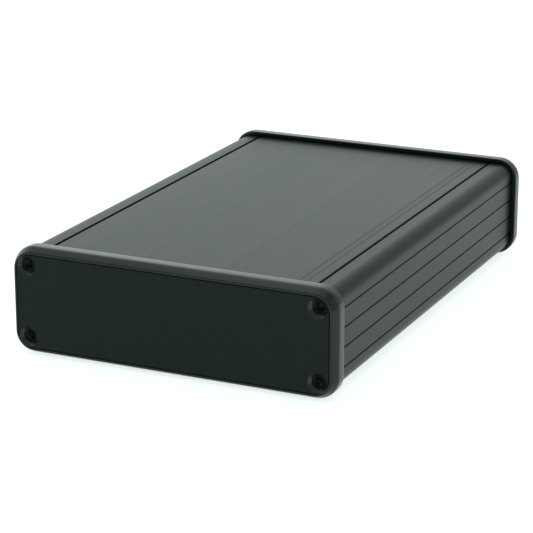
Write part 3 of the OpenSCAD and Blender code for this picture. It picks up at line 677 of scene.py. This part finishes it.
for pieceName, nodeName, bodyName, faceY, direction in (
        ("frontScrews", "front_screws", "case", frontY, -1),
        ("rearScrews", "rear_screws", "rear_end", rearY, 1)):
    fourScrews = copies(alongY(screwShape(), -direction), 0, screwPlaces(faceY))
    screws = addPiece(pieceName, fourScrews, bodyName, "screw_black")
    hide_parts(nodeName)
print("screws are turned and threaded")


sink = {"mouth": 3.08, "floor": 2.2, "skin": 0.03, "lift": 0.01, "columns": 40}
sinkDepth = sink["mouth"] - sink["floor"]
sinkProfile = [(sink["mouth"], sink["lift"]), (sink["floor"], sink["lift"] + sinkDepth),
               (sink["floor"] - sink["skin"], sinkDepth), (sink["mouth"] - sink["skin"], 0.0)]
for pieceName, bodyName, faceY, direction in (
        ("frontCountersinks", "case", frontY, -1), ("rearCountersinks", "rear_end", rearY, 1)):
    ring = ringShape([(r, -z) for r, z in sinkProfile], sink["columns"])
    addPiece(pieceName, copies(alongY(ring, -direction), 0, screwPlaces(faceY)), bodyName, "turned_cut")


chipLeads = {
    # node: chips, the sides with leads, leads a side, their pitch, reach, width, thickness
    "input_comparators": (8, "x", 10, 0.65, 1.0, 0.24, 0.13),
    "threshold_converter": (1, "x", 4, 1.27, 1.0, 0.42, 0.2),
    "settings_memory": (1, "x", 4, 1.27, 1.0, 0.42, 0.2),
    "capture_chip": (1, "xy", 36, 0.5, 1.0, 0.22, 0.13),
    "memory_chips": (4, "y", 27, 0.8, 0.8, 0.32, 0.13),
    "usb_controller": (1, "xy", 16, 0.5, 1.0, 0.22, 0.13),
}


gullWing = {"foot": 0.45, "inside": 0.2, "shoulder": 0.35, "solder": 0.04, "bend": 0.14, "steps": 3,
            "rise": 0.5}


def leadShape(reach, height, width, thick, foot=gullWing["foot"]):
    # a flat strip out of the package's side, bent down to the board and out again: a gull wing
    low = thick / 2 + gullWing["solder"]
    corners = [(-gullWing["inside"], height), (reach * gullWing["shoulder"], height), (reach - foot, low),
               (reach, low)]
    path = roundBend(corners, gullWing["bend"], gullWing["steps"])
    return reordered(flatBar(path, thick, width), [0, 2, 1])


def rowPlaces(box, side, count, pitch):  # feet of one side's leads, and the quarter turn that points them out
    middle, half = (box[0] + box[1]) / 2, (box[1] - box[0]) / 2
    along = (np.arange(count) - (count - 1) / 2) * pitch
    out = {"+x": (1, 0), "-x": (-1, 0), "+y": (0, 1), "-y": (0, -1)}[side]
    x = middle[0] + out[0] * half[0] + (along if out[0] == 0 else 0 * along)
    y = middle[1] + out[1] * half[1] + (along if out[1] == 0 else 0 * along)
    return np.stack([x, y, boardTop + 0 * along], -1), math.atan2(out[1], out[0])


for nodeName, (count, sides, number, pitch, reach, width, thick) in chipLeads.items():
    rows = []
    for box in solidBoxes(nodeName, count):
        shape = leadShape(reach, (box[1][2] - boardTop) * gullWing["rise"], width, thick)
        for side in [sign + axis for axis in sides for sign in "+-"]:
            places, turn = rowPlaces(box, side, number, pitch)
            rows.append(copies(shape, turn, places))
    words = nodeName.split("_")
    addPiece(words[0] + words[1].capitalize() + "Leads", joined(*rows), "board", "frozen_solder")

regulator = {"leads": 3, "pitch": 2.3, "reach": 1.7, "width": 0.7, "thick": 0.28, "tab": 3.0, "foot": 0.8,
             "rise": 0.45}
regulatorBoxes = solidBoxes("voltage_regulators", 2)
rows = []
for box in regulatorBoxes:
    height = (box[1][2] - boardTop) * regulator["rise"]
    for side, number, width in (("-y", regulator["leads"], regulator["width"]), ("+y", 1, regulator["tab"])):
        places, turn = rowPlaces(box, side, number, regulator["pitch"])
        lead = leadShape(regulator["reach"], height, width, regulator["thick"], regulator["foot"])
        rows.append(copies(lead, turn, places))
addPiece("regulatorLeads", joined(*rows), "board", "frozen_solder")
print("chips have their leads")


endCaps = {"length": 0.38, "proud": 0.025, "lift": 0.01, "padReach": 0.35, "padGrow": 0.15, "padLift": 0.005,
           "padHeight": 0.03}
caps, pads = [], []
for low, high in solidBoxes("bypass_capacitors", 20):
    axis = int(np.argmax((high - low)[:2]))
    for end in (0, 1):
        a, b = low - endCaps["proud"], high + endCaps["proud"]
        a[2] = boardTop + endCaps["lift"]
        if end:
            a[axis] = high[axis] - endCaps["length"]
        else:
            b[axis] = low[axis] + endCaps["length"]
        caps.append(boxShape(a, b))
        a, b = a - endCaps["padGrow"], b + endCaps["padGrow"]
        if end:
            b[axis] += endCaps["padReach"]
        else:
            a[axis] -= endCaps["padReach"]
        a[2], b[2] = boardTop + endCaps["padLift"], boardTop + endCaps["padHeight"]
        pads.append(boxShape(a, b))
addPiece("capacitorEnds", joined(*caps), "board", "frozen_solder")
addPiece("capacitorPads", joined(*pads), "board", "frozen_solder")

network = {"ends": 4, "step": 0.8, "width": 0.45, "depth": 0.3, "proud": 0.02, "lift": 0.01}
resistorStep = (np.arange(network["ends"]) - (network["ends"] - 1) / 2) * network["step"]
networkBoxes = solidBoxes("resistor_networks", 8)
ends = []
for low, high in networkBoxes:
    for x in (low[0] + high[0]) / 2 + resistorStep:
        for y0, y1 in ((low[1] - network["proud"], low[1] + network["depth"]),
                       (high[1] - network["depth"], high[1] + network["proud"])):
            ends.append(boxShape((x - network["width"] / 2, y0, boardTop + network["lift"]),
                                 (x + network["width"] / 2, y1, high[2] + network["proud"])))
addPiece("networkEnds", joined(*ends), "board", "frozen_solder")
print("small parts have their ends")


can = {
    "foot": 8.4, "cut": 1.6, "footLift": 0.05, "footHeight": 1.4, "radius": 4.0, "columns": 40,
    "tab": (1.0, 0.7, 0.2), "tabLift": 0.02, "markRadius": 3.25, "markDepth": (0.13, 0.1), "markPoints": 17,
    # how far inside the radius, and how high above the foot's top, above the board or below the can's top
    "bottom": ((0.6, -0.2), (0.6, 0.1), (0.1, 0.15), (0, 0.3)),
    "crimp": ((0, 2.3), (0.1, 2.5), (0.28, 2.7), (0.28, 2.9), (0.1, 3.1), (0, 3.3)),
    "top": ((0, 0.45), (0.07, 0.2), (0.2, 0.06), (0.4, 0), (0.6, 0.03), (0.7, 0.12)),
}
canBoxes = solidBoxes("bulk_capacitors", 3)
canTop = canBoxes[0][1][2] - boardTop
canProfile = [(can["radius"] - inset, can["footHeight"] + rise) for inset, rise in can["bottom"]]
canProfile += [(can["radius"] - inset, rise) for inset, rise in can["crimp"]]
canProfile += [(can["radius"] - inset, canTop - fall) for inset, fall in can["top"]]
canProfile = [(hub, canProfile[0][1])] + canProfile + [(hub, canProfile[-1][1])]


def prism(outline, low, high):  # a flat outline given thickness: two caps and a band
    outline = np.asarray(outline, float)
    count = len(outline)
    points = np.concatenate([np.c_[outline, np.full(count, low)], np.c_[outline, np.full(count, high)]])
    caps = np.stack([np.arange(count)[::-1], count + np.arange(count)])
    return points, facingOut(points, [latticeFaces(2, count, wrapColumns=True), caps])


side, cut = can["foot"] / 2, can["cut"]
foot = prism([(-side, -side), (side, -side), (side, side - cut), (side - cut, side), (cut - side, side),
              (-side, side - cut)], can["footLift"], can["footHeight"])
tabLong, tabWide, tabHigh = can["tab"]
tabs = joined(*[boxShape((-tabLong / 2, y - tabWide / 2, can["tabLift"]),
                         (tabLong / 2, y + tabWide / 2, tabHigh)) for y in (-side, side)])
# the dark third of the top that marks one pole: a circle's segment
angle = np.linspace(-math.pi / 3, math.pi / 3, can["markPoints"]) + math.pi / 2
outline = np.stack([np.cos(angle), np.sin(angle)], -1) * can["markRadius"]
segment = prism(outline, canTop - can["markDepth"][0], canTop - can["markDepth"][1])
canPlaces = [[(low[0] + high[0]) / 2, (low[1] + high[1]) / 2, boardTop] for low, high in canBoxes]
canBodies = copies(turnedShape(canProfile, can["columns"]), 0, canPlaces)
cans = addPiece("bulkCapacitors", canBodies, "board", "capacitor_can")
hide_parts("bulk_capacitors")
addPiece("capacitorFeet", copies(foot, 0, canPlaces), "board", "connector_plastic")
addPiece("capacitorMarks", copies(segment, 0, canPlaces), "board", "chip_epoxy")
addPiece("capacitorTabs", copies(tabs, 0, canPlaces), "board", "frozen_solder")
print("aluminium capacitors are turned")


coil = {
    "wire": 0.16, "wirePoints": 8, "radius": 3.2, "step": 0.34, "turns": 3, "columns": 48, "drumColumns": 32,
    # the drum's upper end: radius, and depth below the coil's top
    "drum": ((hub, 0.5), (1.9, 0.5), (2.05, 0.12), (1.9, 0.02), (hub, 0.02)),
}
coilLow, coilHigh = nodeBox("power_inductor")
coilMiddle = [(coilLow[0] + coilHigh[0]) / 2, (coilLow[1] + coilHigh[1]) / 2, 0]
around = np.arange(coil["wirePoints"]) / coil["wirePoints"] * 2 * np.pi
wires = []
for k in range(coil["turns"]):
    middle = np.array([coil["radius"] - coil["step"] * k, coilHigh[2] - coil["wire"]])
    section = middle + coil["wire"] * np.stack([np.cos(around), np.sin(around)], -1)
    wires.append(ringShape(section, coil["columns"]))
addPiece("inductorWinding", copies(joined(*wires), 0, [coilMiddle]), "board", "copper_wire")
drum = turnedShape([(radius, coilHigh[2] - depth) for radius, depth in coil["drum"]], coil["drumColumns"])
addPiece("inductorDrum", copies(drum, 0, [coilMiddle]), "board", "ferrite")
print("coil is wound")


joint = {"pad": 0.85, "pin": 0.4, "below": 0.95, "above": 0.3, "lift": 0.02, "tip": 0.05, "hollow": 2.2,
         "steps": 6, "columns": 12,
         # from a pin's and the socket's own box to the middle of the leg that goes through the board
         "pinInset": 0.32, "tabInset": 0.2, "tabBack": 5.0}


def jointShape(height):  # a fillet: its radius falls from the pad's to the pin's as a hollow curve
    share = np.linspace(0, 1, joint["steps"])
    radius = joint["pin"] + (joint["pad"] - joint["pin"]) * (1 - share) ** joint["hollow"]
    fillet = list(zip(radius, share * height + joint["lift"]))
    return turnedShape([(hub, -joint["lift"])] + fillet + [(hub, height + joint["tip"])], joint["columns"])


pinBoxes = solidBoxes("header_pins", 34)
legs = np.stack([(pinBoxes[:, 0, 0] + pinBoxes[:, 1, 0]) / 2, pinBoxes[:, 0, 1] + joint["pinInset"]], -1)
usbLow, usbHigh = nodeBox("usb_shell")
tabLegs = np.array([(x, usbLow[1] + joint["tabBack"])
                    for x in (usbLow[0] + joint["tabInset"], usbHigh[0] - joint["tabInset"])])
feet = np.concatenate([legs, tabLegs])
belowShape = (jointShape(joint["below"])[0] * [1, 1, -1], jointShape(joint["below"])[1])
belowShape = (belowShape[0], facingOut(*belowShape))
below = copies(belowShape, 0, np.c_[feet, np.full(len(feet), boardUnder)])
above = copies(jointShape(joint["above"]), 0, np.c_[legs, np.full(len(legs), boardTop)])
addPiece("solderJoints", joined(below, above), "board", "frozen_solder")
print("pins are soldered")


# copper is in millimetres; a track's level is the middle of its thickness, just outside the board's face
copper = {"thick": 0.035, "sink": 0.01, "fine": 0.2, "bus": 0.24, "under": 0.3, "wide": 1.0}
topLevel, underLevel = boardTop + copper["thick"] / 2, boardUnder - copper["thick"] / 2
tracks = []


def trace(path, width, level):  # a flat bar along the board, lifted to its level
    points, faces = flatBar(path, width, copper["thick"] + copper["sink"])
    points[:, 2] += level
    return points, faces


# header to resistors to comparators: the far row's pins pass between the near row's, then all fan out
fan = {"pinPitch": 2.54, "gatherY": 65.0, "fanY": 64.1, "overlap": 0.2, "leadReach": 0.4}
comparatorBoxes = solidBoxes("input_comparators", 8)
terminals = np.sort(np.concatenate([(box[0, 0] + box[1, 0]) / 2 + resistorStep for box in networkBoxes]))
order = np.lexsort((-legs[:, 1], legs[:, 0]))[:len(terminals)]
networkY, comparatorY = networkBoxes[0][:, 1], comparatorBoxes[0][:, 1]
for (x, y), target in zip(legs[order], terminals):
    aside = fan["pinPitch"] / 2 if y > legs[:, 1].mean() else 0
    path = [(x, y)] + ([(x + aside, y - fan["pinPitch"] / 2)] if aside else []) + [
        (x + aside, fan["gatherY"]), (target, fan["fanY"]), (target, networkY[1] - fan["overlap"])]
    tracks.append(trace(path, copper["fine"], topLevel))
for x in terminals:
    tracks.append(trace([(x, networkY[0] + fan["overlap"]), (x, comparatorY[1] - fan["leadReach"])],
                        copper["fine"], topLevel))

# comparators to the capture chip: the outer eight on each side bend round nested corners, the rest run to
# its rear
nest = {"each": 8, "start": 1.3, "step": 0.5, "corner": 1.0, "chipGap": 0.9, "spread": 1.0, "leadIn": 0.3}
captureLow, captureHigh = nodeBox("capture_chip")
captureMiddle = (captureLow + captureHigh) / 2
leftEdge, rightEdge = captureLow[0] - nest["chipGap"], captureHigh[0] + nest["chipGap"]
frontEdge, rearEdge = captureLow[1] - nest["chipGap"], captureHigh[1] + nest["chipGap"]
startY = comparatorY[0] + fan["leadReach"]
for k in range(nest["each"]):
    y = captureMiddle[1] + nest["start"] + nest["step"] * k
    for x, inward, edge in ((terminals[k], nest["corner"], leftEdge),
                            (terminals[-1 - k], -nest["corner"], rightEdge)):
        path = [(x, startY), (x, y + nest["corner"]), (x + inward, y), (edge, y)]
        tracks.append(trace(path, copper["fine"], topLevel))
inner = terminals[nest["each"]:-nest["each"]]
targets = captureMiddle[0] + (np.arange(len(inner)) - (len(inner) - 1) / 2) * nest["spread"]
for x, target in zip(inner, targets):
    path = [(x, startY), (x, comparatorY[0] - fan["leadReach"]), (target, rearEdge + nest["step"]),
            (target, rearEdge - nest["leadIn"])]
    tracks.append(trace(path, copper["fine"], topLevel))

# capture chip to the memory chips, which share a bus between their two rows
bus = {"each": 14, "chipStart": 0.75, "chipStep": 0.5, "memoryStart": 4.2, "memoryStep": 1.6, "bend": 0.6,
       "gap": 0.8, "lines": 27, "pitch": 0.8, "overlap": 0.2}
memoryBoxes = solidBoxes("memory_chips", 4)
memoryRear = memoryBoxes[:, 1, 1].max() + bus["gap"]
for side in (-1, 1):
    for k in range(bus["each"]):
        start = captureMiddle[0] + side * (bus["chipStart"] + bus["chipStep"] * k)
        target = captureMiddle[0] + side * (bus["memoryStart"] + bus["memoryStep"] * k)
        path = [(start, frontEdge + nest["leadIn"]), (start, frontEdge - bus["bend"]),
                (target, memoryRear + bus["bend"]), (target, memoryRear - nest["leadIn"])]
        tracks.append(trace(path, copper["fine"], topLevel))
rowEnds = np.sort(memoryBoxes[:, :, 1].ravel())
for middle in np.unique(np.round(memoryBoxes[:, :, 0].mean(1), 2)):
    for x in middle + (np.arange(bus["lines"]) - (bus["lines"] - 1) / 2) * bus["pitch"]:
        tracks.append(trace([(x, rowEnds[3] - bus["overlap"]), (x, rowEnds[4] + bus["overlap"])],
                            copper["bus"], topLevel))

# the controller's data lines to the capture chip's right side, under the nested corners
data = {"lines": 8, "first": 1.25, "step": 0.5, "bendX": 16.0, "corner": 3.0, "ease": 2.0, "below": 5.2}
controllerLow, controllerHigh = nodeBox("usb_controller")
for k in range(data["lines"]):
    y, bendX = controllerLow[1] + data["first"] + data["step"] * k, data["bendX"] - data["step"] * k
    target = captureMiddle[1] - data["below"] - data["step"] * k
    path = [(controllerLow[0] - nest["chipGap"], y), (bendX, y), (bendX - data["corner"], y - data["corner"]),
            (bendX - data["corner"], target + data["ease"]), (bendX - data["corner"] - data["ease"], target),
            (rightEdge, target)]
    tracks.append(trace(path, copper["fine"], topLevel))

# power: socket to regulators, coil and capacitors, on wide tracks
regulatorX = regulatorBoxes[0][:, 0].mean()
power = [
    [(regulatorX, 21.8), (regulatorX, 34), (regulatorX - 6, 42), (regulatorX - 6, 46)],
    [(regulatorX + 2.3, 4), (regulatorX + 2.3, -16.5), (regulatorX + 4, -20)],
    [(coilMiddle[0] + 4, coilMiddle[1]), (regulatorX, coilMiddle[1] + 4), (regulatorX, 3)],
    [place[:2] for place in canPlaces],
    [(usbLow[0] + 3, usbLow[1]), (usbLow[0] + 3, controllerHigh[1] + 1)],
]
tracks += [trace(path, copper["wide"], topLevel) for path in power]

# long runs on the underside, in two bundles
runs = {"count": 12, "bundles": (-34.0, -6.4), "step": 0.8, "startY": 58, "bend": ((0, 10), (6, 4)),
        "endY": -40, "fall": 1.5}
for left in runs["bundles"]:
    for k in range(runs["count"]):
        x = left + runs["step"] * k
        path = [(x, runs["startY"] - runs["step"] * k)] + [(x + dx, y) for dx, y in runs["bend"]]
        path.append((path[-1][0], runs["endY"] - runs["fall"] * k))
        tracks.append(trace(path, copper["under"], underLevel))
addPiece("boardTracks", joined(*tracks), "board", "masked_copper")

holes = {"seed": 7, "inner": 0.16, "outer": 0.34, "height": 0.03, "sink": 0.01, "columns": 12,
         # how many, and the corners of the area they are spread over
         "areas": ((60, (-44, -22), (20, 46)), (30, (-30, -76), (44, -40)))}
randomSource = np.random.default_rng(holes["seed"])
spots = np.concatenate([randomSource.uniform(low, high, (count, 2)) for count, low, high in holes["areas"]])
holeRing = ringShape([(radius, z) for radius, z in (
    (holes["inner"], -holes["sink"]), (holes["outer"], -holes["sink"]), (holes["outer"], holes["height"]),
    (holes["inner"], holes["height"]))], holes["columns"])
holePlaces = np.c_[spots, np.full(len(spots), boardTop)]
addPiece("throughHoles", copies(holeRing, 0, holePlaces), "board", "copper_wire")

# printed corner marks round each part; the comparators stand close together, so theirs are tighter
ink = {"width": 0.18, "gap": 1.5, "tightGap": 0.35, "tightWidth": 4.5, "corner": 0.6, "grow": 0.12,
       "lift": 0.015,
       "round": ("capture_chip", "usb_controller", "threshold_converter", "settings_memory", "power_inductor",
                 "usb_crystal", "sample_oscillator")}
marks = []
outlined = [*memoryBoxes, *regulatorBoxes, *comparatorBoxes, *canBoxes]
outlined += [nodeBox(name) for name in ink["round"]]
for low, high in outlined:
    size = high - low
    gap = ink["tightGap"] if size[0] < ink["tightWidth"] and size[1] > size[0] else ink["gap"]
    length = ink["corner"] + ink["grow"] * size[0]
    for sx, x in ((1, low[0] - gap), (-1, high[0] + gap)):
        for sy, y in ((1, low[1] - gap), (-1, high[1] + gap)):
            path = [(x + sx * length, y), (x, y), (x, y + sy * length)]
            marks.append(trace(path, ink["width"], boardTop + ink["lift"]))
addPiece("printedCorners", joined(*marks), "board", "screen_ink", sharp=60)
print("board is routed and printed")


grip = {"ribs": 4, "step": 0.55, "radius": 0.16, "height": 3.0, "round": 0.05, "columns": 10,
        # from the latch's outer side and its nose to the first rib, and how deep a rib is sunk
        "side": 0.2, "nose": 1.4, "sink": 0.02}
ribEnd, ribSide = grip["height"] / 2, grip["height"] / 2 - grip["round"]
profile = [(hub, -ribEnd), (grip["radius"], -ribSide), (grip["radius"], ribSide), (hub, ribEnd)]
for pieceName, nodeName in (("latchLeftGrip", "latch_left"), ("latchRightGrip", "latch_right")):
    low, high = nodeBox(nodeName)
    outward = -1 if "left" in nodeName else 1
    edgeX = low[0] + grip["side"] if outward < 0 else high[0] - grip["side"]
    ribX, noseY, middle = edgeX - outward * grip["sink"], high[1] - grip["nose"], (low[2] + high[2]) / 2
    places = [(ribX, noseY - k * grip["step"], middle) for k in range(grip["ribs"])]
    ribs = copies(turnedShape(profile, grip["columns"]), 0, places)
    addPiece(pieceName, ribs, nodeName, "connector_plastic")
print("latches have grips")
